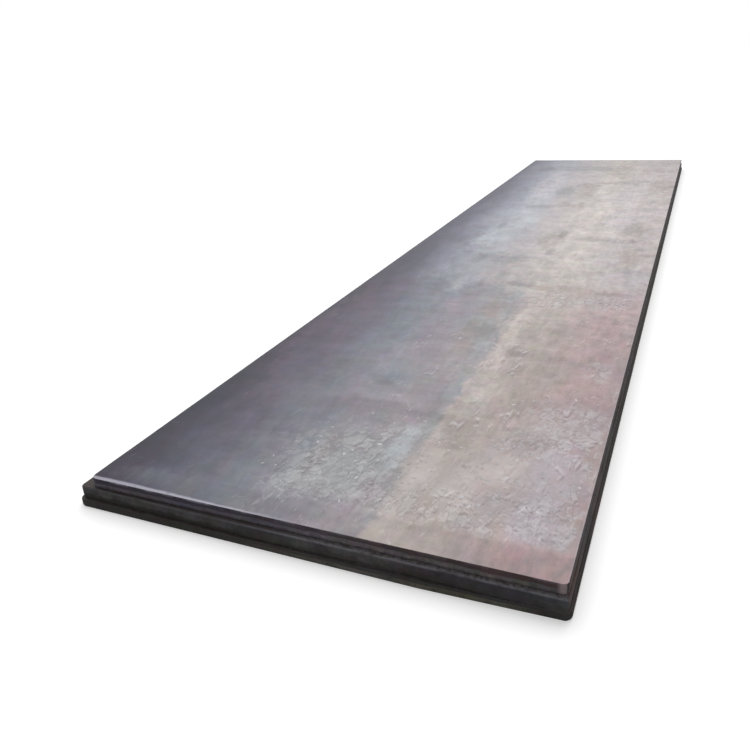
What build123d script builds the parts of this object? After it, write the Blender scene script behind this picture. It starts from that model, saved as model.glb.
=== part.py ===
from build123d import *
import os

# A pile of three hot-rolled steel plates lying flat on one another.
# X runs across the plates and Y along them, with the near end at -Y and Z up.
# The origin is on the floor, at the middle of the bottom plate.

# Sizes of the three plates, in millimetres. The top one is trimmed on all
# sides. The other two keep their wider, rounded sides as they were rolled.
top_width = 2000
top_length = 9000
top_thickness = 45
middle_width = 2072
middle_length = 9030
middle_thickness = 60
bottom_width = 2094
bottom_length = 9050
bottom_thickness = 32

# How far each upper plate stands back from the bottom plate, at its left side
# and at its near end
top_left_ledge = 76
top_near_ledge = 31
middle_left_ledge = 12
middle_near_ledge = 12

# The near end of each lower plate was cut in two passes, which meet at a
# slight bend this far from the left side. Its corners stand back from there.
middle_bend = 815
middle_left_setback = 7
middle_right_setback = 3
bottom_bend = 1575
bottom_left_setback = 1
bottom_right_setback = 17

# The plates' corners as seen from above: the near ones are worn round
top_left_corner = 32
top_right_corner = 22
middle_left_corner = 38
middle_right_corner = 12
bottom_left_corner = 26
bottom_right_corner = 22
far_corner = 8

# A rolled side bulges by this share of the plate's thickness, and turns into
# the flat faces with a radius of this other share
bulge_share = 0.08
turn_share = 0.15

# Small break of the edges that a torch or a shear has left
cut_arris = 3

# Where the plates lie
bottom_left = -bottom_width / 2
bottom_near = -bottom_length / 2
middle_left = bottom_left + middle_left_ledge
middle_near = bottom_near + middle_near_ledge
middle_base = bottom_thickness
top_left = bottom_left + top_left_ledge
top_near = bottom_near + top_near_ledge
top_base = middle_base + middle_thickness


def cut_outline(left, near, width, length, bend, setbacks, near_corners):
    # Plate seen from above, with its bent near end and rounded corners
    left_setback, right_setback = setbacks
    right = left + width
    far = near + length
    with BuildLine() as outline:
        Polyline(
            (left, near + left_setback),
            (left + bend, near),
            (right, near + right_setback),
            (right, far),
            (left, far),
            close=True,
        )
    blank = make_face(outline.edges())
    near_points = blank.vertices().filter_by_position(Axis.Y, near, near + length / 2).sort_by(Axis.X)
    fillet(near_points[0], near_corners[0])
    fillet(near_points[-1], near_corners[1])
    fillet(blank.vertices().group_by(Axis.Y)[-1], far_corner)


def rolled_outline(left, width, base, thickness):
    # Cross-section of an untrimmed plate: flat above and below, bulging sides
    bulge = thickness * bulge_share
    right = left + width
    half_height = base + thickness / 2
    crown = base + thickness
    with BuildLine() as outline:
        Line((left + bulge, base), (right - bulge, base))
        ThreePointArc((right - bulge, base), (right, half_height), (right - bulge, crown))
        Line((right - bulge, crown), (left + bulge, crown))
        ThreePointArc((left + bulge, crown), (left, half_height), (left + bulge, base))
    section = make_face(outline.edges())
    fillet(section.vertices(), thickness * turn_share)


os.makedirs("parts", exist_ok=True)

# Bottom plate: the thinnest and widest. A plate cut to its outline is
# crossed with one rolled to its section.
with BuildPart() as bottom_plate:
    with BuildSketch(Plane.XY):
        cut_outline(
            bottom_left, bottom_near, bottom_width, bottom_length, bottom_bend,
            (bottom_left_setback, bottom_right_setback), (bottom_left_corner, bottom_right_corner),
        )
    extrude(amount=bottom_thickness)
    chamfer(faces().filter_by(Plane.XY).edges(), cut_arris)
    with BuildSketch(Plane.XZ.offset(-bottom_near)):
        rolled_outline(bottom_left, bottom_width, 0, bottom_thickness)
    extrude(amount=-bottom_length, mode=Mode.INTERSECT)
bottom_plate.part.label = "bottom_plate"
export_step(bottom_plate.part, "parts/bottom_plate.step")

# Middle plate: the thickest, and nearly flush with the bottom one
with BuildPart() as middle_plate:
    with BuildSketch(Plane.XY.offset(middle_base)):
        cut_outline(
            middle_left, middle_near, middle_width, middle_length, middle_bend,
            (middle_left_setback, middle_right_setback), (middle_left_corner, middle_right_corner),
        )
    extrude(amount=middle_thickness)
    chamfer(faces().filter_by(Plane.XY).edges(), cut_arris)
    with BuildSketch(Plane.XZ.offset(-middle_near)):
        rolled_outline(middle_left, middle_width, middle_base, middle_thickness)
    extrude(amount=-middle_length, mode=Mode.INTERSECT)
middle_plate.part.label = "middle_plate"
export_step(middle_plate.part, "parts/middle_plate.step")

# Top plate: trimmed square, with upright sides
with BuildPart() as top_plate:
    with BuildSketch(Plane.XY.offset(top_base)):
        with Locations((top_left, top_near)):
            Rectangle(top_width, top_length, align=(Align.MIN, Align.MIN))
        near_corners = vertices().group_by(Axis.Y)[0].sort_by(Axis.X)
        far_corners = vertices().group_by(Axis.Y)[-1]
        fillet(near_corners[0], top_left_corner)
        fillet(near_corners[-1], top_right_corner)
        fillet(far_corners, far_corner)
    extrude(amount=top_thickness)
    fillet(faces().filter_by(Plane.XY).edges(), cut_arris)
top_plate.part.label = "top_plate"
export_step(top_plate.part, "parts/top_plate.step")
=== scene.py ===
import math

import bpy
import numpy as np
from mathutils import Matrix, Vector


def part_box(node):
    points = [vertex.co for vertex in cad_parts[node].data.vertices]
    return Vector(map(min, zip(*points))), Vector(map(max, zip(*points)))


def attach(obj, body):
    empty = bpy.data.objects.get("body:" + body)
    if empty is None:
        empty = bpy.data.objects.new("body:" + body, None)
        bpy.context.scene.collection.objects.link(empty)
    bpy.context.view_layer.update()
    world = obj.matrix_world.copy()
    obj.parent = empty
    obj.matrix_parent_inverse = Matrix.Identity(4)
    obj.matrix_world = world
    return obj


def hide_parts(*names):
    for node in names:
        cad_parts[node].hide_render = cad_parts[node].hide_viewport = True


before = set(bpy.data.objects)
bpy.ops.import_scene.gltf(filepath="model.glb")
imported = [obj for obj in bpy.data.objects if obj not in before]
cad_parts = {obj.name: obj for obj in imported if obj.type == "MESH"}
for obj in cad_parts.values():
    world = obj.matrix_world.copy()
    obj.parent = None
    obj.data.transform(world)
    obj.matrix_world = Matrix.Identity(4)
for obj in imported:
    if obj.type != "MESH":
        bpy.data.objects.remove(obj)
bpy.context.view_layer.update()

scene = bpy.context.scene
mm = 0.001


# Wiring helpers, for materials and geometry trees alike

class Wire:
    # an output socket that can stand in a sum

    def __init__(self, bench, socket):
        self.bench = bench
        self.socket = socket

    def maths(self, how, other, swapped=False):
        first, second = (other, self) if swapped else (self, other)
        return self.bench.make("ShaderNodeMath", {"operation": how}, {0: first, 1: second})

    def __add__(self, other):
        return self.maths("ADD", other)

    def __sub__(self, other):
        return self.maths("SUBTRACT", other)

    def __rsub__(self, other):
        return self.maths("SUBTRACT", other, swapped=True)

    def __mul__(self, other):
        return self.maths("MULTIPLY", other)

    def __pow__(self, other):
        return self.maths("POWER", other)

    __radd__ = __add__
    __rmul__ = __mul__

    def atLeast(self, other):
        return self.maths("MAXIMUM", other)

    def atMost(self, other):
        return self.maths("MINIMUM", other)

    def outlet(self, name):
        # another output of the same node
        return Wire(self.bench, self.socket.node.outputs[name])


class Bench:
    # a node tree and the ways of adding to it

    def __init__(self, tree):
        self.tree = tree

    def make(self, kind, settings=None, sockets=None, out=0):
        node = self.tree.nodes.new(kind)
        for name, value in (settings or {}).items():
            if name == "stops":
                self.setStops(node.color_ramp, value)
            else:
                setattr(node, name, value)
        for key, value in (sockets or {}).items():
            if isinstance(value, Wire):
                self.tree.links.new(value.socket, node.inputs[key])
            else:
                node.inputs[key].default_value = value
        return Wire(self, node.outputs[out] if len(node.outputs) else None)

    def setStops(self, ramp, stops):
        while len(ramp.elements) < len(stops):
            ramp.elements.new(1.0)
        for element, (place, colour) in zip(ramp.elements, stops):
            element.position = place
            element.color = colour

    def rise(self, value, low, high):
        # 0 below low and 1 above high, or the other way round where low is the larger
        return self.make(
            "ShaderNodeMapRange", {"interpolation_type": "SMOOTHSTEP"},
            {0: value, 1: min(low, high), 2: max(low, high), 3: float(low > high), 4: float(low < high)})

    def band(self, value, low, high, soft):
        return self.rise(value, low - soft, low + soft) * self.rise(value, high + soft, high - soft)

    def vector(self, how, first, second):
        return self.make("ShaderNodeVectorMath", {"operation": how}, {0: first, 1: second})

    def stretch(self, place, x, y, z):
        return self.vector("MULTIPLY", place, (x, y, z))

    def noise(self, place, scale, detail=3.0, rough=0.55, twist=0.0):
        return self.make(
            "ShaderNodeTexNoise", None,
            {"Vector": place, "Scale": scale, "Detail": detail, "Roughness": rough, "Distortion": twist})

    def cells(self, place, scale, feature="F1"):
        return self.make(
            "ShaderNodeTexVoronoi", {"feature": feature}, {"Vector": place, "Scale": scale, "Randomness": 1.0})

    def apart(self, place):
        split = self.make("ShaderNodeSeparateXYZ", None, {0: place})
        return split, split.outlet("Y"), split.outlet("Z")

    def tint(self, factor, first, second, how="MIX"):
        return self.make(
            "ShaderNodeMix", {"data_type": "RGBA", "blend_type": how},
            {0: factor, 6: first, 7: second}, out=2)

    def scaled(self, colour, gain):
        return self.make("ShaderNodeVectorMath", {"operation": "SCALE"}, {"Vector": colour, "Scale": gain})

    def blend(self, factor, first, second):
        return self.make("ShaderNodeMix", {"data_type": "FLOAT"}, {0: factor, 2: first, 3: second})


def screen(red, green, blue):
    # a colour as seen on screen, 0 to 255, turned into the linear one that a shader takes
    def linear(c):
        c = c / 255
        return c / 12.92 if c <= 0.04045 else ((c + 0.055) / 1.055) ** 2.4
    return (linear(red), linear(green), linear(blue), 1.0)


def newMaterial(name):
    material = bpy.data.materials.new(name)
    material.use_nodes = True
    material.node_tree.nodes.clear()
    return material, Bench(material.node_tree)


def finishMaterial(bench, colour, rough, metal, relief, reliefDepth, fixed):
    # relief is a height from 0 to 1, and reliefDepth what 1 stands for in metres
    bump = bench.make("ShaderNodeBump", None, {"Strength": 1.0, "Distance": reliefDepth, "Height": relief})
    values = {"Base Color": colour, "Roughness": rough, "Metallic": metal, "Normal": bump}
    values.update(fixed)
    shader = bench.make("ShaderNodeBsdfPrincipled", None, values)
    bench.make("ShaderNodeOutputMaterial", None, {"Surface": shader})


# Camera: a standing person looks down on the pile from off its near right corner

photographer = {
    "fromPlate": (1.2216, -6.3010, 1.5570),  # from the middle of the top plate's upper face, metres
    "pitch": 65.57, "roll": -3.89, "yaw": 25.20,  # degrees
    "focalPixels": 701.8, "photoPixels": 750, "filmWidth": 36.0,
}

topLow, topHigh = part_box("top_plate")


def placeCamera(setup):
    data = bpy.data.cameras.new("photographer")
    data.sensor_width = setup["filmWidth"]
    data.lens = setup["focalPixels"] / setup["photoPixels"] * setup["filmWidth"]
    data.clip_end = 400
    camera = bpy.data.objects.new("photographer", data)
    scene.collection.objects.link(camera)
    middle = Vector(((topLow.x + topHigh.x) / 2, (topLow.y + topHigh.y) / 2, topHigh.z))
    turns = [Matrix.Rotation(math.radians(setup[name]), 4, axis)
             for name, axis in (("yaw", "Z"), ("pitch", "X"), ("roll", "Z"))]
    camera.matrix_world = Matrix.Translation(middle + Vector(setup["fromPlate"])) @ turns[0] @ turns[1] @ turns[2]
    scene.camera = camera


placeCamera(photographer)
print("camera placed, lens", round(scene.camera.data.lens, 1), "mm")


# Plate shells: the plates cut fine enough for their wear to be real shape

topPlate = {
    "name": "topPlateSteel", "node": "top_plate", "slot": "top_plate_steel",
    "corners": (32 * mm, 22 * mm, 8 * mm, 8 * mm),  # near left, near right, far right, far left
    "endArris": 3.2 * mm, "sideArris": 3.2 * mm, "bulge": 0.0,
    "nearCut": (0.0, 1.0, 0.0),  # left corner's setback, where the cut bends, right corner's setback
    "columns": 300, "rows": 220, "grading": 1.7,
    "openTop": True, "drop": 1.2 * mm,  # room for the scale that stands on the face
    "wear": {"Arris Nicks": 2.2 * mm, "End Ripple": 1.4 * mm, "Side Laps": 1.0 * mm, "Face Hollows": 0.9 * mm},
}

middlePlate = {
    "name": "middlePlateSteel", "node": "middle_plate", "slot": "lower_plate_steel",
    "corners": (26 * mm, 12 * mm, 8 * mm, 8 * mm),
    "endArris": 3.0 * mm, "sideArris": 9 * mm, "bulge": 4.8 * mm,
    "nearCut": (7 * mm, 815 * mm, 3 * mm),
    "columns": 300, "rows": 260, "grading": 1.7,
    "openTop": False, "drop": 0.0,
    "wear": {"Arris Nicks": 2.6 * mm, "End Ripple": 2.0 * mm, "Side Laps": 2.4 * mm, "Face Hollows": 0.5 * mm},
}

bottomPlate = {
    "name": "bottomPlateSteel", "node": "bottom_plate", "slot": "lower_plate_steel",
    "corners": (46 * mm, 26 * mm, 8 * mm, 8 * mm),
    "endArris": 3.0 * mm, "sideArris": 4.8 * mm, "bulge": 2.6 * mm,
    "nearCut": (1 * mm, 1575 * mm, 17 * mm),
    "columns": 300, "rows": 260, "grading": 1.7,
    "openTop": False, "drop": 0.0,
    "wear": {"Arris Nicks": 2.6 * mm, "End Ripple": 2.2 * mm, "Side Laps": 2.0 * mm, "Face Hollows": 0.5 * mm},
}

shellDetail = {
    "cornerSteps": 4,  # on each half of a corner seen from above
    "turnSteps": 4, "sideSteps": 6,  # down an arris, down the upright face
    "ledgeRings": (0.006, 0.014, 0.026, 0.045, 0.075, 0.11),  # inward on a covered plate, metres
    "tightest": 0.4 * mm,  # least corner radius of an inner ring
    "cutFade": 0.5,  # how far along the plate the near cut's slant dies away, metres
    "sharpAngle": 50,
}


def ringSides(plate):
    # the four sides of a ring, anticlockwise; each point's two corners, its share of the way
    # from one to the other, and its normal
    half = shellDetail["cornerSteps"]
    sides = []
    for number in range(4):
        following = (number + 1) % 4
        facing = math.radians(270 + 90 * number)
        count = plate["rows"] if number % 2 else plate["columns"]
        spread = np.linspace(0, 1, count + 1)
        if number % 2:  # rows lie closer together towards the near end
            spread = np.expm1(plate["grading"] * spread) / math.expm1(plate["grading"])
        if number == 3:
            spread = 1 - spread[::-1]

        def row(corner, other, share, degrees):
            turn = facing + math.radians(degrees)
            return (corner, other, share, math.cos(turn), math.sin(turn))

        points = [row(number, number, 0.0, 45 * (step / half - 1)) for step in range(half)]
        points += [row(number, following, share, 0.0) for share in spread]
        points += [row(following, following, 0.0, 45 * step / half) for step in range(1, half + 1)]
        sides.append(np.array(points))
    return sides


def ringSpots(loop, low, high, radii, endInset, sideInset):
    # where one ring's points lie; its corners tighten as it moves in
    signs = np.array([(-1, -1), (1, -1), (1, 1), (-1, 1)])
    inset = np.array([sideInset, endInset])
    reach = np.maximum(np.array(radii)[:, None] - inset, shellDetail["tightest"])
    outermost = np.where(signs < 0, (low.x, low.y), (high.x, high.y))
    centres = outermost - signs * (inset + reach)
    first, last = loop[:, 0].astype(int), loop[:, 1].astype(int)
    share, normal = loop[:, 2:3], loop[:, 3:5]
    return (1 - share) * (centres[first] + normal * reach[first]) + share * (centres[last] + normal * reach[last])


def edgeProfile(thickness, radius, bulge):
    # inset and height of each ring, from the upper face round the edge to the lower face
    half = thickness / 2
    turns, steps = shellDetail["turnSteps"], shellDetail["sideSteps"]
    upper = []
    for step in range(turns + 1):
        angle = math.pi / 2 * (1 - step / turns)
        upper.append((radius * (1 - math.cos(angle)), half - radius + radius * math.sin(angle)))
    upright = [(0.0, (half - radius) * (1 - 2 * step / steps)) for step in range(1, steps)]
    lower = [(inset, -height) for inset, height in reversed(upper)]
    return [(inset + bulge * (height / half) ** 2, height + half) for inset, height in upper + upright + lower]


def plateShell(plate):
    low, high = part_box(plate["node"])
    thickness = high.z - low.z - plate["drop"]
    width = high.x - low.x
    sides = ringSides(plate)
    loop = np.concatenate([side[:-1] for side in sides])
    count = len(loop)
    sideShare = loop[:, 3] ** 2  # 1 on the long sides, 0 on the ends
    rings = list(zip(edgeProfile(thickness, plate["endArris"], 0.0),
                     edgeProfile(thickness, plate["sideArris"], plate["bulge"])))
    turns = shellDetail["turnSteps"]
    kinds = ["upper"] + ["arris"] * turns + ["upright"] * (len(rings) - 2 * turns - 2)
    kinds += ["arris"] * turns + ["lower"]
    if not plate["openTop"]:
        firstEnd, firstSide = rings[0][0][0], rings[0][1][0]
        for inward in shellDetail["ledgeRings"]:
            rings.insert(0, ((firstEnd + inward, thickness), (firstSide + inward, thickness)))
            kinds.insert(0, "upper")

    points = []
    marks = {"upper": [], "arris": [], "cutEnd": [], "rolledSide": [], "height": []}

    def addPoint(x, y, z, kind, share):
        points.append((x, y, low.z + z))
        edge = kind in ("upright", "arris")
        marks["upper"].append(float(kind == "upper"))
        marks["arris"].append(float(kind == "arris"))
        marks["cutEnd"].append((1.0 - share) * edge)
        marks["rolledSide"].append(share * edge)
        marks["height"].append(z / thickness)

    def cutBack(x, y):
        # the near cut slants away on both sides of its bend, less and less along the plate
        leftBack, bend, rightBack = plate["nearCut"]
        along = x - low.x
        back = leftBack * (1 - along / bend) if along < bend else rightBack * (along - bend) / (width - bend)
        return y + back * max(0.0, 1 - (y - low.y) / shellDetail["cutFade"])

    for (end, side), kind in zip(rings, kinds):
        height = end[1] * (1 - sideShare) + side[1] * sideShare
        spots = ringSpots(loop, low, high, plate["corners"], end[0], side[0])
        for n, (x, y) in enumerate(spots):
            addPoint(x, cutBack(x, y), height[n], kind, sideShare[n])

    faces = []
    for ring in range(len(rings) - 1):
        a, b = ring * count, (ring + 1) * count
        faces += [(a + n, b + n, b + (n + 1) % count, a + (n + 1) % count) for n in range(count)]

    def borders(ring):
        # one ring's near, right, far and left sides, run left to right and near to far
        starts = np.cumsum([0] + [len(side) - 1 for side in sides])
        base = ring * count
        runs = [[base + n % count for n in range(starts[s], starts[s + 1] + 1)] for s in range(4)]
        return runs[0], runs[1], runs[2][::-1], runs[3][::-1]

    def closeFlat(ring, flip):
        # strips right across, with one many-sided face at each end
        near, right, far, left = borders(ring)
        caps = [tuple(near) + (right[1], left[1]), tuple(far)[::-1] + (left[-2], right[-2])]
        caps += [(left[n], right[n], right[n + 1], left[n + 1]) for n in range(1, len(left) - 2)]
        faces.extend(face[::-1] if flip else face for face in caps)

    def closeGrid(ring):
        # a grid drawn between the four sides, for the face that is open to view
        near, right, far, left = borders(ring)
        place = np.array(points)
        across, along = len(near) - 1, len(left) - 1
        grid = [[None] * (across + 1) for _ in range(along + 1)]
        grid[0], grid[along] = list(near), list(far)
        for j in range(along + 1):
            grid[j][0], grid[j][across] = left[j], right[j]
        pNear, pFar, pLeft, pRight = (place[run] for run in (near, far, left, right))
        for j in range(1, along):
            v = (pLeft[j][1] - pLeft[0][1]) / (pLeft[-1][1] - pLeft[0][1])
            for i in range(1, across):
                u = (pNear[i][0] - pNear[0][0]) / (pNear[-1][0] - pNear[0][0])
                spot = (1 - v) * pNear[i] + v * pFar[i] + (1 - u) * pLeft[j] + u * pRight[j]
                spot = spot - (1 - v) * ((1 - u) * pNear[0] + u * pNear[-1])
                spot = spot - v * ((1 - u) * pFar[0] + u * pFar[-1])
                grid[j][i] = len(points)
                addPoint(spot[0], spot[1], thickness, "upper", 0.0)
        for j in range(along):
            faces.extend((grid[j][i], grid[j][i + 1], grid[j + 1][i + 1], grid[j + 1][i]) for i in range(across))

    if plate["openTop"]:
        closeGrid(0)
    else:
        closeFlat(0, flip=False)
    closeFlat(len(rings) - 1, flip=True)

    mesh = bpy.data.meshes.new(plate["name"] + "Blank")
    mesh.from_pydata(points, [], faces)
    for name, values in marks.items():
        layer = mesh.attributes.new(name, "FLOAT", "POINT")
        layer.data.foreach_set("value", values)
    mesh.update()
    return mesh


# Geometry trees

def geometryTree(name, inputs):
    # a tree with a mesh in and out and the named inputs, each a kind and a value
    tree = bpy.data.node_groups.new(name, "GeometryNodeTree")
    tree.interface.new_socket("Geometry", in_out="INPUT", socket_type="NodeSocketGeometry")
    for label, value in inputs.items():
        kind = "NodeSocketInt" if isinstance(value, int) else "NodeSocketFloat"
        socket = tree.interface.new_socket(label, in_out="INPUT", socket_type=kind)
        socket.default_value = value
    tree.interface.new_socket("Geometry", in_out="OUTPUT", socket_type="NodeSocketGeometry")
    bench = Bench(tree)
    return bench, bench.make("NodeGroupInput")


def closeTree(bench, geometry, material):
    solid = bench.make("GeometryNodeRealizeInstances", None, {"Geometry": geometry})
    painted = bench.make("GeometryNodeSetMaterial", None, {"Geometry": solid, "Material": material})
    bench.make("NodeGroupOutput", None, {"Geometry": painted})


def applyTree(name, blank, tree, values):
    # run a tree on a blank mesh and keep the result as a plain mesh object
    worker = bpy.data.objects.new(name + "Worker", blank)
    scene.collection.objects.link(worker)
    modifier = worker.modifiers.new("shape", "NODES")
    modifier.node_group = tree
    for item in tree.interface.items_tree:
        if item.in_out == "INPUT" and item.name in values:
            modifier[item.identifier] = values[item.name]
    evaluated = worker.evaluated_get(bpy.context.evaluated_depsgraph_get())
    mesh = bpy.data.meshes.new_from_object(evaluated)
    bpy.data.objects.remove(worker)
    bpy.data.meshes.remove(blank)
    mesh.name = name
    piece = bpy.data.objects.new(name, mesh)
    scene.collection.objects.link(piece)
    return piece


def weatheringTree(material, wear):
    # moves points inwards only: nicks on the arrises, ripples on the cuts, laps on the rolled sides
    bench, given = geometryTree("plateWeathering", wear)
    place = bench.make("GeometryNodeInputPosition")
    normal = bench.make("GeometryNodeInputNormal")

    def mark(name):
        return bench.make("GeometryNodeInputNamedAttribute", {"data_type": "FLOAT"}, {"Name": name})

    chips = bench.rise(bench.noise(place, 21.0, 4.0, 0.6), 0.50, 0.78)
    dents = bench.rise(bench.noise(place, 5.5, 2.0), 0.50, 0.75)
    nicks = mark("arris") * (chips + dents * 0.6) * given.outlet("Arris Nicks")
    gouges = bench.noise(bench.stretch(place, 1.0, 1.0, 0.3), 34.0, 3.0, 0.6)
    wander = bench.noise(place, 3.0, 2.0)
    ripple = mark("cutEnd") * (gouges * 0.7 + wander * 0.5) * given.outlet("End Ripple")
    seams = bench.noise(bench.stretch(place, 1.0, 0.12, 1.0), 42.0, 3.0, 0.6)
    laps = mark("rolledSide") * (seams * 0.7 + wander * 0.6) * given.outlet("Side Laps")
    hollows = mark("upper") * bench.noise(bench.stretch(place, 1.0, 0.6, 1.0), 1.7, 2.0)
    inward = nicks + ripple + laps + hollows * given.outlet("Face Hollows")
    shift = bench.make("ShaderNodeVectorMath", {"operation": "SCALE"}, {"Vector": normal, "Scale": 0.0 - inward})
    moved = bench.make("GeometryNodeSetPosition", None, {"Geometry": given, "Offset": shift})
    closeTree(bench, moved, material)
    return bench.tree


# Where the mill scale has broken into leaves: used by the paint and by the loose chips alike

brokenScale = {
    "start": 0.165, "end": 0.98, "left": 0.74, "right": 1.97,  # metres from the near end and the left side
    "leftShort": 0.20,  # its left part ends this much nearer
    "islands": [  # smaller patches: middle from left and from near, half sizes
        (1.43, 2.72, 0.13, 0.16), (1.76, 2.76, 0.15, 0.12), (1.80, 1.10, 0.16, 0.12), (1.86, 1.66, 0.06, 0.12)],
    "strayEnd": 4.2,  # thinly scattered leaves reach this far along
}


def islandMask(bench, fromLeft, fromNear, islands, fray):
    # soft-edged ovals with frayed outlines
    total = None
    for acrossAt, alongAt, halfAcross, halfAlong in islands:
        across = (fromLeft - acrossAt) * (1 / halfAcross)
        along = (fromNear - alongAt) * (1 / halfAlong)
        mask = bench.rise(across * across + along * along + fray, 2.6, -0.6)
        total = mask if total is None else total.atLeast(mask)
    return total


def brokenScaleField(bench, place):
    # how thickly the scale is broken, how thickly stray leaves lie, and the place from left and from near
    x, y, z = bench.apart(place)
    fromLeft = x - topLow.x
    fromNear = y - topLow.y
    sway = bench.noise(place, 2.6, 3.0, 0.6)
    fray = bench.noise(place, 17.0, 3.0, 0.6)
    area = brokenScale
    reach = fromNear + (sway - 0.5) * 0.7 + (fray - 0.5) * 0.36
    reach = reach + bench.rise(fromLeft, 1.66, 1.50) * area["leftShort"]
    left = fromLeft + (sway - 0.5) * 0.6 + (fray - 0.5) * 0.30
    right = fromLeft + (fray - 0.5) * 0.10
    dense = bench.rise(fromNear + (fray - 0.5) * 0.12, area["start"] - 0.03, area["start"] + 0.03)
    dense = dense * bench.rise(reach, area["end"] + 0.16, area["end"] - 0.16)
    dense = dense * bench.rise(left, area["left"] - 0.12, area["left"] + 0.20)
    dense = dense * bench.rise(right, area["right"] + 0.02, area["right"] - 0.02)
    dense = dense.atLeast(islandMask(bench, fromLeft, fromNear, area["islands"], (fray - 0.5) * 5.0))
    strays = bench.rise(sway + (fray - 0.5) * 0.3, 0.46, 0.62) * bench.rise(fromLeft, 0.5, 1.1)
    strays = strays * bench.rise(fromNear, area["strayEnd"], area["end"])
    return dense, strays, fromLeft, fromNear


def leafPattern(bench, place, scale, length):
    # torn leaves drawn out along the plate: how pale each is, and a soft shade round the palest
    torn = bench.vector("SUBTRACT", bench.noise(place, scale * 1.2, 4.0, 0.65).outlet("Color"), (0.5, 0.5, 0.5))
    reach = 1.6 / scale
    torn = bench.vector("ADD", place, bench.vector("MULTIPLY", torn, (reach, reach / length, 0.0)))
    torn = bench.stretch(torn, 1.0, length, 1.0)
    border = bench.cells(torn, scale, "DISTANCE_TO_EDGE")
    pale = bench.make("ShaderNodeSeparateColor", None, {0: bench.cells(torn, scale).outlet("Color")})
    pale = bench.rise(pale, 0.40, 0.85)
    return pale * bench.rise(border, 0.0, 0.18), pale * bench.rise(border, 0.14, 0.02)


def flakePattern(bench, place, scale, length, level):
    # frayed flakes drawn out along the plate: their mask, and their rims towards and away from the light
    drawn = bench.stretch(place, 1.0, length, 1.0)

    def flakeAt(shift):
        return bench.rise(bench.noise(bench.vector("ADD", drawn, shift), scale, 4.0, 0.58, 0.9), level - 0.04, level + 0.04)

    flake = flakeAt((0.0, 0.0, 0.0))
    beyond = flakeAt((-0.15 / scale, 0.20 / scale, 0.0))
    return flake, (flake - beyond).atLeast(0.0), (beyond - flake).atLeast(0.0)


# Steel of the top plate's face

faceSteel = {
    "slateTones": [  # metres from the left side and the tone there, up to the lengthwise seam; the darker left is partly the scale's own slate tone, partly painted reflection
        (0.00, screen(50, 48, 57)), (0.12, screen(57, 54, 64)), (0.26, screen(73, 71, 82)),
        (0.48, screen(93, 93, 102)), (0.72, screen(107, 107, 114)), (1.00, screen(115, 113, 117)),
        (1.30, screen(124, 121, 122))],
    "slateReflectionGains": [(0.0, 1.0), (0.8, 1.02), (1.4, 1.10), (2.2, 1.18), (3.0, 1.28)],  # metres from the near end, gain; the gain is painted reflection, paler where the face is seen more slantwise
    "tanTones": [  # the same beyond the seam
        (0.00, screen(145, 137, 134)), (1.24, screen(145, 137, 135)), (1.36, screen(143, 135, 132)),
        (1.52, screen(140, 131, 127)), (1.68, screen(138, 127, 126)), (1.84, screen(139, 124, 125)),
        (2.00, screen(134, 121, 122))],
    # gains along the plate beyond the seam: painted reflection
    "tanReflectionGains": [(0.0, 1.0), (1.1, 1.0), (2.2, 1.10), (3.0, 1.34)],
    "farTones": [  # and past the third metre, where the seam is lost; here too the darker left is partly painted reflection
        (0.00, screen(60, 59, 71)), (0.14, screen(71, 70, 83)), (0.30, screen(97, 97, 109)),
        (0.50, screen(121, 123, 132)), (0.72, screen(138, 138, 144)), (0.92, screen(145, 140, 142)),
        (1.20, screen(154, 148, 147)), (1.42, screen(161, 155, 151)), (1.70, screen(156, 150, 150)),
        (2.00, screen(151, 143, 143))],
    # gains along the plate past the third metre: painted reflection
    "farReflectionGains": [(0.0, 0.94), (3.2, 0.98), (4.4, 1.14), (5.4, 1.20), (6.2, 1.14), (7.4, 1.10), (8.2, 1.02), (9.0, 0.96)],
    "farDrift": 0.12,  # the dark left band narrows by this much towards the far end, metres
    "mauve": (1.07, 0.96, 1.03, 1.0), "teal": (0.93, 1.00, 1.02, 1.0),  # gains of red, green and blue
    "rust": screen(150, 124, 124),
    "haze": screen(138, 140, 142), "hazeWarm": screen(158, 151, 147), "hazeLilac": screen(156, 150, 152),
    # the pale tone serves pale leaves, scratches and painted highlight on flake rims; the blackish one serves fine
    # grain and painted shade round flakes and leaves
    "bareAndLit": screen(190, 187, 190), "sootAndShade": screen(54, 50, 56),
    "seamAt": 1.262, "seamEnd": 3.0,  # the lengthwise seam between blue-grey and tan scale, metres
    "nearStrip": 0.14,  # a duller strip along the near end, metres
}

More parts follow.
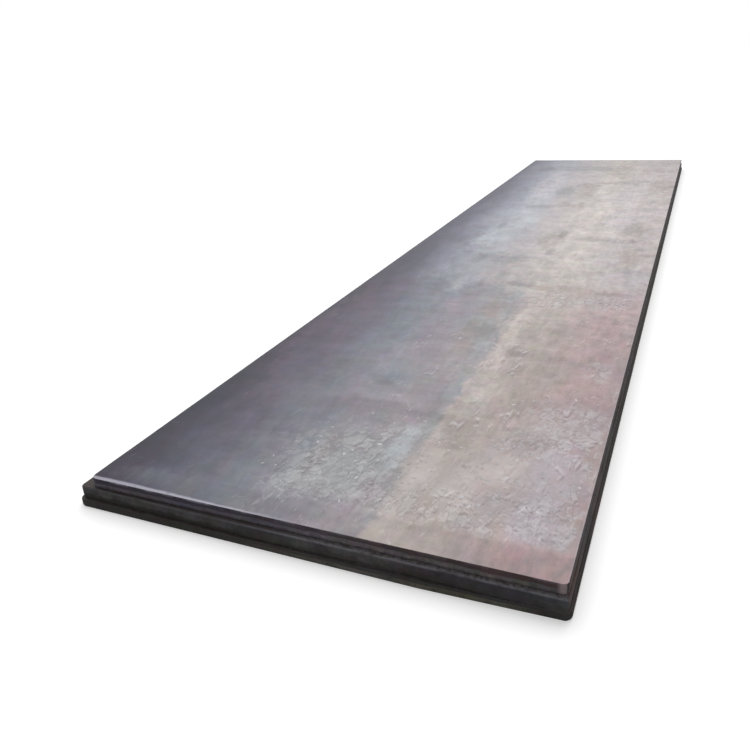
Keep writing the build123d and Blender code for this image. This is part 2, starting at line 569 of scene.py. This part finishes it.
# blooms and stains on the face: for each tone its strength and its ovals, as middle from left and
# near and half sizes in metres
faceMarks = [
    (screen(158, 161, 166), 0.55, [  # frosty
        (0.70, 5.25, 0.12, 0.45), (0.62, 4.40, 0.14, 0.60), (0.70, 2.92, 0.04, 0.16), (0.66, 6.50, 0.12, 0.60)]),
    (screen(169, 162, 158), 0.50, [  # cream
        (1.31, 2.15, 0.04, 0.50), (1.42, 3.30, 0.18, 0.26), (1.36, 5.00, 0.18, 0.60), (1.36, 1.34, 0.05, 0.22)]),
    (screen(163, 156, 161), 0.55, [  # lilac
        (0.62, 7.20, 0.16, 0.85), (1.84, 3.30, 0.14, 0.26), (1.60, 5.20, 0.14, 0.34), (0.96, 4.05, 0.06, 0.18),
        (1.48, 6.30, 0.18, 0.34), (1.90, 7.85, 0.05, 0.40)]),
    (screen(90, 77, 91), 0.50, [  # plum
        (0.30, 1.90, 0.16, 0.80), (0.14, 2.20, 0.10, 0.60), (0.42, 1.20, 0.12, 0.35)]),
    (screen(122, 111, 118), 0.45, [  # mauve
        (0.86, 2.45, 0.07, 0.40), (0.86, 1.05, 0.14, 0.14), (1.10, 1.10, 0.10, 0.30), (0.92, 1.85, 0.08, 0.30)]),
    (screen(146, 124, 125), 0.34, [  # rose
        (1.74, 1.30, 0.09, 0.26), (1.80, 2.05, 0.14, 0.55), (1.90, 1.45, 0.07, 0.30), (1.62, 8.05, 0.06, 0.34)]),
    (screen(122, 111, 104), 0.42, [  # brown
        (1.38, 0.84, 0.08, 0.14), (1.40, 2.98, 0.18, 0.07), (1.09, 2.20, 0.08, 0.55), (1.12, 5.82, 0.07, 0.13),
        (1.76, 4.75, 0.08, 0.36), (1.80, 3.90, 0.07, 0.30), (1.32, 8.00, 0.14, 0.60), (1.09, 6.65, 0.09, 0.40),
        (1.88, 6.90, 0.12, 0.40), (1.12, 4.30, 0.09, 0.22)]),
    (screen(98, 102, 106), 0.42, [  # slate
        (0.55, 1.20, 0.12, 0.50), (0.60, 2.40, 0.12, 0.70), (0.50, 0.95, 0.09, 0.12), (0.88, 3.70, 0.22, 0.14),
        (0.86, 6.60, 0.08, 0.36), (0.76, 5.72, 0.12, 0.08), (0.76, 8.22, 0.46, 0.18), (0.40, 0.09, 0.26, 0.05)]),
    (screen(66, 60, 62), 0.30, [  # soot
        (1.18, 4.57, 0.025, 0.10), (1.185, 3.95, 0.030, 0.09), (1.47, 4.42, 0.12, 0.07), (1.74, 4.40, 0.09, 0.08),
        (1.14, 3.03, 0.10, 0.05), (1.78, 2.92, 0.12, 0.04), (0.97, 5.90, 0.08, 0.13), (0.66, 3.68, 0.04, 0.11),
        (1.07, 6.98, 0.11, 0.11), (1.36, 7.12, 0.22, 0.07), (1.60, 7.26, 0.14, 0.09), (0.34, 8.15, 0.09, 0.16),
        (1.70, 0.93, 0.13, 0.025), (1.168, 0.36, 0.010, 0.16), (0.56, 4.82, 0.03, 0.10), (0.86, 3.05, 0.03, 0.10),
        (1.40, 1.78, 0.06, 0.04), (0.84, 1.24, 0.04, 0.03)]),
]

# the same on the broken scale
brokenMarks = [
    (screen(158, 164, 168), 0.70, [(1.17, 0.66, 0.040, 0.20)]),  # frosty
    (screen(144, 149, 149), 0.55, [(1.02, 0.36, 0.12, 0.14), (0.80, 0.30, 0.05, 0.10)]),  # grey green
    (screen(166, 158, 156), 0.60, [  # cream
        (1.51, 0.40, 0.07, 0.15), (1.33, 0.48, 0.05, 0.14), (1.76, 0.98, 0.14, 0.06), (1.62, 0.60, 0.10, 0.12)]),
    (screen(156, 150, 158), 0.55, [  # lilac
        (1.84, 0.25, 0.09, 0.08), (1.84, 0.60, 0.08, 0.20)]),
    (screen(120, 112, 108), 0.40, [  # brown
        (1.38, 0.84, 0.08, 0.12), (0.86, 0.50, 0.04, 0.16), (1.43, 0.26, 0.08, 0.05), (1.66, 0.84, 0.12, 0.04)]),
]


def rampAlong(bench, stops, value):
    # a colour ramp whose stops are given in metres
    length = stops[-1][0]
    return bench.make("ShaderNodeValToRGB", {"stops": [
        (at / length, tone) for at, tone in stops]}, {0: value * (1 / length)})


def gainAlong(bench, stops, value):
    # a number ramp in metres, for gains up to 2
    grey = rampAlong(bench, [(at, (gain / 2, gain / 2, gain / 2, 1)) for at, gain in stops], value)
    return bench.make("ShaderNodeSeparateColor", None, {0: grey}) * 2.0


def faceLook(bench, place):
    # colour, roughness, metal and relief of the open upper face
    steel = faceSteel
    dense, strays, fromLeft, fromNear = brokenScaleField(bench, place)
    broad = bench.noise(bench.stretch(place, 1.0, 0.40, 1.0), 1.6, 4.0, 0.6)
    leaning = bench.make("ShaderNodeVectorRotate", {"rotation_type": "Z_AXIS"}, {"Vector": place, "Angle": -0.2})
    leftPart = bench.rise(fromLeft, 1.2, 0.7)  # where the streaks lean a little to the left
    cloud = bench.blend(leftPart, bench.noise(bench.stretch(place, 1.0, 0.58, 1.0), 6.0, 6.0, 0.66),
                        bench.noise(bench.stretch(leaning, 1.0, 0.42, 1.0), 6.0, 6.0, 0.66))
    blotch = bench.noise(bench.stretch(place, 1.0, 0.62, 1.0), 17.0, 5.0, 0.66, 0.6)
    grain = bench.noise(place, 70.0, 5.0, 0.65)
    drawn = bench.blend(leftPart, bench.noise(bench.stretch(place, 1.0, 0.12, 1.0), 30.0, 5.0, 0.66),
                        bench.noise(bench.stretch(leaning, 1.0, 0.12, 1.0), 22.0, 5.0, 0.66))
    along = fromNear + (broad - 0.5) * 1.2 + (cloud - 0.5) * 0.6
    across = fromLeft + (broad - 0.5) * 0.40 + (cloud - 0.5) * 0.18

    # slate at the left, tan beyond the lengthwise seam
    # each tone is scaled by its gain along the plate, which is painted reflection
    slate = bench.scaled(rampAlong(bench, steel["slateTones"], across), gainAlong(bench, steel["slateReflectionGains"], along))
    hue = bench.noise(bench.stretch(leaning, 1.0, 0.34, 1.0), 4.2, 5.0, 0.62, 0.5)
    slate = bench.tint(bench.rise(hue, 0.46, 0.66), slate, steel["mauve"], "MULTIPLY")
    slate = bench.tint(bench.rise(hue, 0.52, 0.36), slate, steel["teal"], "MULTIPLY")
    tan = rampAlong(bench, steel["tanTones"], fromLeft + (cloud - 0.5) * 0.35)
    tan = bench.scaled(tan, gainAlong(bench, steel["tanReflectionGains"], along))
    rusty = bench.rise(fromLeft + (cloud - 0.5) * 0.6, 1.45, 1.85) * bench.rise(fromNear, 0.22, 0.10)
    tan = bench.tint(rusty * bench.rise(blotch, 0.34, 0.60) * 0.5, tan, steel["rust"])
    wobble = (bench.noise(place, 3.2, 4.0, 0.6) - 0.5) * 0.09 + (blotch - 0.5) * 0.12
    apart = fromLeft + wobble - steel["seamAt"]
    apart = apart * bench.blend(bench.rise(fromNear + (cloud - 0.5) * 1.5, 1.3, 2.6), 1.0, 0.28)
    colour = bench.tint(bench.rise(apart, -0.022, 0.022), slate, tan)

    # paler and without a seam past the third metre
    drift = bench.rise(fromNear, 4.5, 8.8) * steel["farDrift"]
    far = rampAlong(bench, steel["farTones"], across + drift)
    far = bench.scaled(far, gainAlong(bench, steel["farReflectionGains"], along))
    colour = bench.tint(bench.rise(fromNear + (cloud - 0.5) * 0.9 + (blotch - 0.5) * 0.4,
                                   steel["seamEnd"] - 0.22, steel["seamEnd"] + 0.22), colour, far)

    # clouding, blooms, stains, the duller near strip and grain
    fray = (bench.noise(bench.stretch(place, 1.0, 0.55, 1.0), 11.0, 6.0, 0.70) - 0.5) * 9.0
    for tone, strength, ovals in faceMarks:
        colour = bench.tint(islandMask(bench, fromLeft, fromNear, ovals, fray) * strength, colour, tone)
    strip = bench.rise(fromNear + (blotch - 0.5) * 0.05, steel["nearStrip"] + 0.01, steel["nearStrip"] - 0.01)
    shadeGain = 1 - strip * bench.rise(across, 0.2, 0.6) * 0.10
    barred = bench.noise(bench.stretch(place, 0.55, 1.3, 1.0), 5.5, 5.0, 0.62)
    barring = bench.blend(bench.rise(fromLeft, 1.1, 1.4).atLeast(bench.rise(fromNear, 2.4, 3.4)), 1.0, 0.5)
    mottle = (cloud - 0.5) * 0.85 + (blotch - 0.5) * 0.85 + (drawn - 0.5) * 0.45 + (barred - 0.5) * barring
    colour = bench.scaled(colour, shadeGain * (1 + mottle * bench.blend(bench.rise(across, 0.9, 1.5), 0.75, 1.0)))
    tinge = bench.noise(bench.stretch(place, 1.0, 0.6, 1.0), 11.0, 5.0, 0.68).outlet("Color")
    colour = bench.tint(0.18, colour, tinge, "SOFT_LIGHT")
    colour = bench.tint(bench.rise(grain, 0.56, 0.74) * 0.14, colour, steel["sootAndShade"])

    # broken scale: a pale haze and on it leaves of two sizes, crispest along the patch's two ends
    large, largeShade = leafPattern(bench, place, 17.0, 0.62)
    small, smallShade = leafPattern(bench, place, 33.0, 0.62)
    crinkle, lit, shaded = flakePattern(bench, place, 24.0, 0.60, 0.53)
    haze = bench.rise(bench.noise(bench.stretch(place, 1.0, 0.6, 1.0), 6.5, 5.0, 0.66), 0.36, 0.62)
    hazeTone = bench.tint(bench.rise(fromLeft + (cloud - 0.5) * 0.3, 1.18, 1.30), steel["haze"], steel["hazeWarm"])
    hazeTone = bench.tint(bench.rise(fromLeft + (cloud - 0.5) * 0.5, 1.45, 1.65), hazeTone, steel["hazeLilac"])
    leaves = large.atLeast(small * 0.8)
    crisp = bench.rise(fromNear, 0.42, 0.24).atLeast(bench.rise(fromNear, 0.62, 0.90)) * 0.6
    crisp = crisp.atLeast(bench.rise(bench.noise(place, 5.0, 3.0), 0.46, 0.62) * 0.8) + 0.2
    scaly = dense * (haze * 0.52 + leaves * 0.34)
    colour = bench.tint(scaly, colour, hazeTone)
    for tone, strength, ovals in brokenMarks:
        colour = bench.tint(islandMask(bench, fromLeft, fromNear, ovals, fray) * dense * strength, colour, tone)
    lone, loneLit, loneShaded = flakePattern(bench, place, 24.0, 0.34, 0.60)
    crisp = crisp * bench.blend(bench.rise(fromLeft, 1.1, 1.3), 0.75, 1.0) + bench.rise(fromNear, 2.0, 2.4) * 0.7
    # painted highlight on the flakes' rims towards the light, painted shade on their rims away from it and round the
    # palest leaves; the pale leaves themselves are the scale's own colour
    bright = dense * crisp * (leaves * 0.34 + lit * 0.24)
    colour = bench.tint(bright.atLeast(strays * loneLit * 0.38), colour, steel["bareAndLit"])
    dark = dense * crisp * (largeShade.atLeast(smallShade) * 0.16 + shaded * 0.24)
    colour = bench.tint(dark.atLeast(strays * loneShaded * 0.30), colour, steel["sootAndShade"])

    # scratches at several slants
    scratch = None
    for turn, scale, start in ((0.3, 5.0, 0.745), (-0.5, 7.0, 0.765), (1.35, 6.0, 0.77)):
        turned = bench.make("ShaderNodeVectorRotate", {"rotation_type": "Z_AXIS"}, {"Vector": place, "Angle": turn})
        line = bench.rise(bench.noise(bench.stretch(turned, 30.0, 0.9, 1.0), scale, 2.0, 0.5), start, start + 0.03)
        scratch = line if scratch is None else scratch.atLeast(line)
    colour = bench.tint(scratch * 0.25, colour, steel["bareAndLit"])

    # pale rim along the near end and the right side: partly rubbed wear, partly painted highlight on the arris
    edgeBreakup = bench.noise(place, 12.0, 4.0, 0.6)
    rimWidth = bench.blend(bench.rise(fromLeft, 0.8, 0.1), 0.012, 0.022)
    nearRimWearAndLight = bench.rise(fromNear + (edgeBreakup - 0.5) * 0.012 - rimWidth, 0.006, -0.006) * bench.rise(fromLeft, 1.10, 0.60)
    sideRimWearAndLight = bench.rise(fromLeft + (edgeBreakup - 0.5) * 0.006, 1.990, 1.995) * 0.3
    rim = nearRimWearAndLight.atLeast(sideRimWearAndLight) * bench.rise(edgeBreakup, 0.22, 0.40)
    colour = bench.tint(rim * 0.75, colour, edgeSteel["arris"])

    rough = 0.50 + (cloud - 0.5) * 0.24 + (blotch - 0.5) * 0.16 + scaly * 0.12 - scratch * 0.12
    metal = 0.55 - scaly * 0.3 - rusty * 0.2
    relief = 0.45 + (grain - 0.5) * 0.16 + dense * (leaves * 0.20 + crinkle * 0.12) + lone * strays * 0.1 + (drawn - 0.5) * 0.12
    relief = relief - scratch * 0.15
    return colour, rough, metal, relief


# Steel of the ends and sides

edgeSteel = {
    "cutGrey": screen(78, 75, 77),
    "sideDark": screen(32, 26, 26), "sideLight": screen(56, 48, 47), "rust": screen(74, 56, 50),
    # the arris tone is partly wear and partly painted highlight
    "arris": screen(152, 151, 162), "ledge": screen(66, 61, 62), "dustAndLit": screen(112, 109, 112),
    "nearBlack": screen(28, 26, 27),
}


def endLook(bench, place, height, tones):
    # a cut end: darker above, greyer below, blotched, with faint upright drag lines, and darker at its foot
    fromLeft = bench.apart(place)[0] - topLow.x
    wander = bench.noise(place, 6.0, 4.0, 0.6)
    blotch = bench.noise(place, 20.0, 4.0, 0.62)
    slag = bench.noise(bench.stretch(place, 1.0, 1.0, 0.7), 55.0, 4.0, 0.65)
    drag = bench.noise(bench.stretch(place, 1.0, 1.0, 0.05), 190.0, 3.0, 0.6)
    level = height + (wander - 0.5) * 0.5 + (blotch - 0.5) * 0.5 + (slag - 0.5) * 0.2
    upperPart = bench.rise(level, tones["change"] - 0.10, tones["change"] + 0.10)
    where = fromLeft + (blotch - 0.5) * 0.02
    colour = bench.tint(upperPart, rampAlong(bench, tones["below"], where), rampAlong(bench, tones["above"], where))
    colour = bench.scaled(colour, 1 + (blotch - 0.5) * 1.6 + (slag - 0.5) * 1.2 + (wander - 0.5) * 0.8)
    tinge = bench.noise(place, 14.0, 3.0, 0.6).outlet("Color")
    colour = bench.tint(0.35, colour, tinge, "SOFT_LIGHT")
    colour = bench.tint(bench.rise(level, 0.10, -0.04) * 0.7, colour, edgeSteel["nearBlack"])
    colour = bench.tint(bench.rise(drag, 0.52, 0.70) * 0.15, colour, edgeSteel["nearBlack"])
    rough = 0.78 + (slag - 0.5) * 0.3
    relief = drag * 0.3 + slag * 0.7
    return colour, rough, relief


def sideLook(bench, place, height):
    # a rolled side: long streaks, laps and a brown tinge, darker towards the bottom
    streaks = bench.noise(bench.stretch(place, 1.0, 0.05, 1.0), 70.0, 4.0, 0.6)
    wander = bench.noise(bench.stretch(place, 1.0, 0.4, 1.0), 7.0, 4.0, 0.6)
    colour = bench.tint(bench.rise(streaks, 0.40, 0.66), edgeSteel["sideDark"], edgeSteel["sideLight"])
    colour = bench.tint(bench.rise(wander, 0.48, 0.68) * 0.6, colour, edgeSteel["rust"])
    colour = bench.tint(bench.rise(height, 0.30, 0.0) * 0.5, colour, edgeSteel["nearBlack"])
    rough = 0.80 + (streaks - 0.5) * 0.3
    relief = streaks * 0.7 + wander * 0.3
    return colour, rough, relief


# the ends of the trimmed plate and of the two below it: tones of the upper and the lower part, each
# with metres from the left side, and the height between them as a share of the thickness
trimmedEnd = {
    "above": [(0.0, screen(46, 40, 50)), (0.6, screen(50, 44, 54)), (0.9, screen(60, 53, 61)),
              (1.2, screen(62, 55, 58)), (1.5, screen(60, 49, 51)), (1.8, screen(60, 46, 47)),
              (1.962, screen(60, 46, 47)), (1.975, screen(118, 108, 105)), (2.0, screen(118, 108, 105))],
    "below": [(0.0, screen(74, 71, 78)), (0.6, screen(80, 76, 84)), (0.9, screen(86, 82, 90)),
              (1.2, screen(98, 94, 97)), (1.5, screen(92, 86, 88)), (1.75, screen(88, 84, 85)),
              (1.962, screen(78, 75, 76)), (1.975, screen(122, 112, 108)), (2.0, screen(122, 112, 108))],
    "change": 0.52, "arrisFrom": 1.05, "arrisTo": 0.70,
}
middleEnd = {
    "above": [(0.0, screen(58, 56, 56)), (0.7, screen(56, 54, 55)), (0.85, screen(44, 42, 44)), (1.0, screen(56, 55, 55)),
              (1.2, screen(66, 65, 63)), (1.45, screen(56, 52, 54)), (1.7, screen(44, 41, 46)), (2.0, screen(54, 56, 58))],
    "below": [(0.0, screen(34, 32, 31)), (0.7, screen(37, 35, 33)), (0.9, screen(50, 49, 47)), (1.2, screen(54, 52, 49)),
              (1.5, screen(50, 46, 46)), (1.7, screen(46, 43, 44)), (2.0, screen(48, 48, 47))],
    "change": 0.42, "arrisFrom": 0.60, "arrisTo": 1.10,
}
bottomEnd = {
    "above": [(0.0, screen(38, 36, 35)), (0.8, screen(44, 42, 40)), (1.2, screen(46, 44, 42)), (2.0, screen(42, 40, 40))],
    "below": [(0.0, screen(44, 41, 39)), (0.7, screen(48, 45, 42)), (0.9, screen(64, 61, 56)), (1.2, screen(82, 79, 73)),
              (1.45, screen(77, 72, 67)), (1.8, screen(82, 79, 70)), (1.92, screen(54, 52, 49)), (2.0, screen(48, 48, 47))],
    "change": 0.70, "arrisFrom": 0.60, "arrisTo": 1.10,
}


def plateMaterial(name, faceMaker, endTones, arrisTone):
    material, bench = newMaterial(name)
    place = bench.make("ShaderNodeTexCoord").outlet("Object")

    def mark(label):
        return bench.make("ShaderNodeAttribute", {"attribute_name": label}).outlet("Fac")

    height = mark("height")
    onEnd = bench.rise(mark("cutEnd"), 0.35, 0.65)
    onSide = bench.rise(mark("rolledSide"), 0.35, 0.65)
    face, faceRough, faceMetal, faceRelief = faceMaker(bench, place)
    end, endRough, endRelief = endLook(bench, place, height, endTones)
    side, sideRough, sideRelief = sideLook(bench, place, height)
    colour = bench.tint(onSide, bench.tint(onEnd, face, end), side)
    edge = onEnd.atLeast(onSide)

    # arris wear and painted highlight: the handled upper edge is paler in places, partly rubbed to metal and partly a
    # painted highlight, most on one half of the end
    edgeBreakup = bench.noise(bench.stretch(place, 1.0, 0.5, 1.0), 9.0, 5.0, 0.65)
    wearAndHighlight = mark("arris") * bench.rise(height, 0.55, 0.95) * bench.rise(edgeBreakup, arrisTone[0], arrisTone[1])
    half = bench.rise(bench.apart(place)[0] - topLow.x, endTones["arrisFrom"], endTones["arrisTo"])
    wearAndHighlight = wearAndHighlight * (0.35 + half * 0.65) * (1 - onSide * 0.6)
    colour = bench.tint(wearAndHighlight * arrisTone[2], colour, edgeSteel["arris"])
    rough = bench.blend(onSide, bench.blend(onEnd, faceRough, endRough), sideRough)
    metal = bench.blend(edge, faceMetal, 0.0)
    relief = bench.blend(onSide, bench.blend(onEnd, faceRelief, endRelief), sideRelief)
    finishMaterial(bench, colour, rough, metal, relief, 0.9 * mm, {"Specular IOR Level": 0.2})
    return material


def ledgeLook(pale):
    # the covered plates' faces, seen only as narrow ledges: dark scale, paler on the end's right half, partly dusted
    # and partly painted light
    def look(bench, place):
        fromLeft = bench.apart(place)[0] - topLow.x
        cloud = bench.noise(bench.stretch(place, 1.0, 0.6, 1.0), 14.0, 5.0, 0.62)
        speck = bench.noise(place, 60.0, 4.0, 0.65)
        colour = bench.tint(bench.rise(cloud, 0.34, 0.60), edgeSteel["sideLight"], edgeSteel["ledge"])
        colour = bench.tint(bench.rise(speck, 0.50, 0.68) * 0.4, colour, edgeSteel["rust"])
        # paler on the right half: partly dusting, partly painted light where the ledge is lit
        dustAndLitShare = bench.rise(fromLeft, 0.75, 1.25) * bench.rise(fromLeft, 2.03, 1.98)
        colour = bench.tint(dustAndLitShare * (0.3 + bench.rise(speck, 0.40, 0.60) * 0.7) * pale, colour, edgeSteel["dustAndLit"])
        rough = 0.66 + (cloud - 0.5) * 0.3
        metal = 0.10 + (cloud - 0.5) * 0.1
        return colour, rough, metal, speck
    return look


topSteel = plateMaterial("trimmedPlateScale", faceLook, trimmedEnd, (0.46, 0.62, 0.5))
middleSteel = plateMaterial("middlePlateScale", ledgeLook(0.8), middleEnd, (0.34, 0.56, 0.34))
bottomSteel = plateMaterial("bottomPlateScale", ledgeLook(0.1), bottomEnd, (0.40, 0.60, 0.05))
print("materials wired")

for plate, material in ((topPlate, topSteel), (middlePlate, middleSteel), (bottomPlate, bottomSteel)):
    tree = weatheringTree(material, plate["wear"])
    piece = applyTree(plate["name"], plateShell(plate), tree, plate["wear"])
    piece.data.shade_smooth()
    piece.data.set_sharp_from_angle(angle=math.radians(shellDetail["sharpAngle"]))
    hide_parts(plate["node"])
    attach(piece, "root")
    print("shell", plate["name"], len(piece.data.polygons), "faces")


# Loose leaves of mill scale on the top plate's face

looseScale = {
    "name": "looseMillScale", "slot": "top_plate_steel",
    "rim": 10, "shoulder": 0.62, "fillRings": 2,  # one leaf: sides, upper width against lower, rings
    "sizes": {
        "Spacing": 18 * mm, "Density": 1600.0, "Smallest": 4 * mm, "Largest": 15 * mm,
        "Thickness": 1.5 * mm, "Bedding": 0.9 * mm, "Ragged": 11 * mm, "Stray Share": 0.03, "Seed": 11,
    },
    "guideStep": 30 * mm,
}


def looseScaleTree(material, leaf, faceHeight, ceiling):
    bench, given = geometryTree("scaleLeaves", leaf["sizes"])
    seed = given.outlet("Seed")

    def chance(low, high, offset):
        return bench.make("FunctionNodeRandomValue", {"data_type": "FLOAT"},
                          {"Min": low, "Max": high, "Seed": seed + offset}, out=1)

    points = bench.make("GeometryNodeDistributePointsOnFaces", {"distribute_method": "POISSON"}, {
        "Mesh": given, "Distance Min": given.outlet("Spacing"), "Density Max": given.outlet("Density"), "Seed": seed})
    place = bench.make("GeometryNodeInputPosition")
    dense, strays, fromLeft, fromNear = brokenScaleField(bench, place)
    clumps = bench.rise(bench.noise(place, 9.0, 4.0, 0.65), 0.40, 0.62)
    wanted = (dense * (0.15 + clumps * 0.85) * 0.6).atLeast(strays * given.outlet("Stray Share"))
    spare = bench.make("FunctionNodeCompare", {"data_type": "FLOAT", "operation": "LESS_THAN"},
                       {0: wanted, 1: chance(0.0, 1.0, 1)})
    kept = bench.make("GeometryNodeDeleteGeometry", {"domain": "POINT"}, {"Geometry": points, "Selection": spare})

    flake = bench.make("GeometryNodeMeshCone", {"fill_type": "TRIANGLE_FAN"}, {
        "Vertices": leaf["rim"], "Side Segments": 1, "Fill Segments": leaf["fillRings"],
        "Radius Top": leaf["shoulder"], "Radius Bottom": 1.0, "Depth": 1.0})
    small = given.outlet("Smallest")
    reach = small + (given.outlet("Largest") - small) * chance(0.0, 1.0, 2) ** 1.8
    size = bench.make("ShaderNodeCombineXYZ", None, {
        0: reach, 1: reach * chance(0.40, 0.85, 3), 2: given.outlet("Thickness") * chance(0.75, 1.0, 4)})
    turn = bench.make("ShaderNodeCombineXYZ", None, {
        0: chance(-0.05, 0.05, 5), 1: chance(-0.05, 0.05, 6), 2: chance(0.0, 2 * math.pi, 7)})
    leaves = bench.make("GeometryNodeInstanceOnPoints", None, {
        "Points": kept, "Instance": flake, "Rotation": turn, "Scale": size})
    leaves = bench.make("GeometryNodeStoreNamedAttribute", {"data_type": "FLOAT", "domain": "INSTANCE"}, {
        "Geometry": leaves, "Name": "leafTone", "Value": chance(0.0, 1.0, 8)})
    leaves = bench.make("GeometryNodeRealizeInstances", None, {"Geometry": leaves})

    # ragged outlines, sunk a little into the face and never above the ceiling
    tear = bench.vector("SUBTRACT", bench.noise(place, 70.0, 3.0, 0.6).outlet("Color"), (0.5, 0.5, 0.5))
    tear = bench.make("ShaderNodeVectorMath", {"operation": "SCALE"},
                      {"Vector": bench.stretch(tear, 1.0, 1.0, 0.04), "Scale": given.outlet("Ragged")})
    moved = bench.make("GeometryNodeSetPosition", None, {"Geometry": leaves, "Offset": tear})
    x, y, z = bench.apart(place)
    bedded = bench.make("ShaderNodeCombineXYZ", None, {
        0: x, 1: y, 2: (z + faceHeight - given.outlet("Bedding")).atMost(ceiling)})
    bedded = bench.make("GeometryNodeSetPosition", None, {"Geometry": moved, "Position": bedded})
    closeTree(bench, bedded, material)
    return bench.tree


def leafMaterial():
    material, bench = newMaterial("liftedScale")
    place = bench.make("ShaderNodeTexCoord").outlet("Object")
    tone = bench.make("ShaderNodeAttribute", {"attribute_name": "leafTone"}).outlet("Fac")
    x, y, z = bench.apart(place)
    grain = bench.noise(place, 130.0, 5.0, 0.65)
    drift = bench.noise(place, 6.0, 4.0, 0.6)
    colour = bench.make("ShaderNodeValToRGB", {"stops": [
        (0.00, screen(140, 136, 138)), (0.30, screen(150, 146, 148)), (0.85, screen(162, 159, 161)),
        (1.00, screen(182, 181, 184))]}, {0: tone})
    sway = x - topLow.x + (drift - 0.5) * 0.5
    warm = bench.band(sway, 1.26, 1.55, 0.08)
    colour = bench.tint(warm * 0.4, colour, faceSteel["hazeWarm"])
    colour = bench.tint(bench.rise(grain, 0.52, 0.70) * 0.15, colour, faceSteel["sootAndShade"])
    rough = 0.60 + (grain - 0.5) * 0.3
    metal = 0.20 + (drift - 0.5) * 0.2
    finishMaterial(bench, colour, rough, metal, grain, 0.3 * mm, {})
    return material


def scaleGuide(leaf):
    # a flat grid over the stretch of face where leaves may lie, at height 0
    left, right = topLow.x + 0.4, topHigh.x - 0.025
    near, far = topLow.y + brokenScale["start"] - 0.02, topLow.y + brokenScale["strayEnd"]
    across = round((right - left) / leaf["guideStep"])
    along = round((far - near) / leaf["guideStep"])
    grid = np.array([(left + (right - left) * i / across, near + (far - near) * j / along, 0.0)
                     for j in range(along + 1) for i in range(across + 1)])
    row = across + 1
    faces = [(j * row + i, j * row + i + 1, (j + 1) * row + i + 1, (j + 1) * row + i)
             for j in range(along) for i in range(across)]
    mesh = bpy.data.meshes.new(leaf["name"] + "Guide")
    mesh.from_pydata(grid.tolist(), [], faces)
    return mesh


faceHeight = topHigh.z - topPlate["drop"]
tree = looseScaleTree(leafMaterial(), looseScale, faceHeight, topHigh.z - 0.05 * mm)
leaves = applyTree(looseScale["name"], scaleGuide(looseScale), tree, looseScale["sizes"])
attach(leaves, "root")
print("loose scale", len(leaves.data.polygons), "faces")


# Floor and light

studio = {
    "roomLight": 0.48, "skyTurn": (-30, -12), "skyStrength": 1.75, "skySoftness": 50,  # degrees
    "floorTone": 0.80, "floorLift": 0.36, "floorHalf": 60.0,
}


def buildStudio(setup):
    world = bpy.data.worlds.new("softRoom")
    scene.world = world
    world.use_nodes = True
    world.node_tree.nodes.clear()
    bench = Bench(world.node_tree)
    path = bench.make("ShaderNodeLightPath")
    seen = path.outlet("Is Camera Ray").atLeast(path.outlet("Is Glossy Ray"))
    seen = seen.atLeast(path.outlet("Is Transmission Ray"))
    room = bench.make("ShaderNodeBackground", None, {"Color": (1, 1, 1, 1), "Strength": setup["roomLight"]})
    white = bench.make("ShaderNodeBackground", None, {"Color": (1, 1, 1, 1), "Strength": 1.0})
    mixed = bench.make("ShaderNodeMixShader", None, {0: seen, 1: room, 2: white})
    bench.make("ShaderNodeOutputWorld", None, {"Surface": mixed})

    lamp = bpy.data.lights.new("overcastSky", "SUN")
    lamp.energy = setup["skyStrength"]
    lamp.angle = math.radians(setup["skySoftness"])
    sky = bpy.data.objects.new("overcastSky", lamp)
    scene.collection.objects.link(sky)
    sky.rotation_euler = [math.radians(turn) for turn in (*setup["skyTurn"], 0)]

    half = setup["floorHalf"]
    mesh = bpy.data.meshes.new("studioFloor")
    mesh.from_pydata([(-half, -half, 0), (half, -half, 0), (half, half, 0), (-half, half, 0)], [], [(0, 1, 2, 3)])
    floor = bpy.data.objects.new("studioFloor", mesh)
    scene.collection.objects.link(floor)
    material, bench = newMaterial("whiteFloor")
    path = bench.make("ShaderNodeLightPath")
    seen = path.outlet("Is Camera Ray").atLeast(path.outlet("Is Glossy Ray"))
    seen = seen.atLeast(path.outlet("Is Transmission Ray"))
    tone = setup["floorTone"]
    paint = bench.make("ShaderNodeBsdfDiffuse", None, {"Color": (tone, tone, tone, 1)})
    lift = bench.make("ShaderNodeEmission", None, {"Color": (1, 1, 1, 1), "Strength": seen * setup["floorLift"]})
    both = bench.make("ShaderNodeAddShader", None, {0: paint, 1: lift})
    bench.make("ShaderNodeOutputMaterial", None, {"Surface": both})
    mesh.materials.append(material)


buildStudio(studio)
scene.view_settings.view_transform = "Standard"
print("studio lit")

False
bpy.context.view_layer.update()
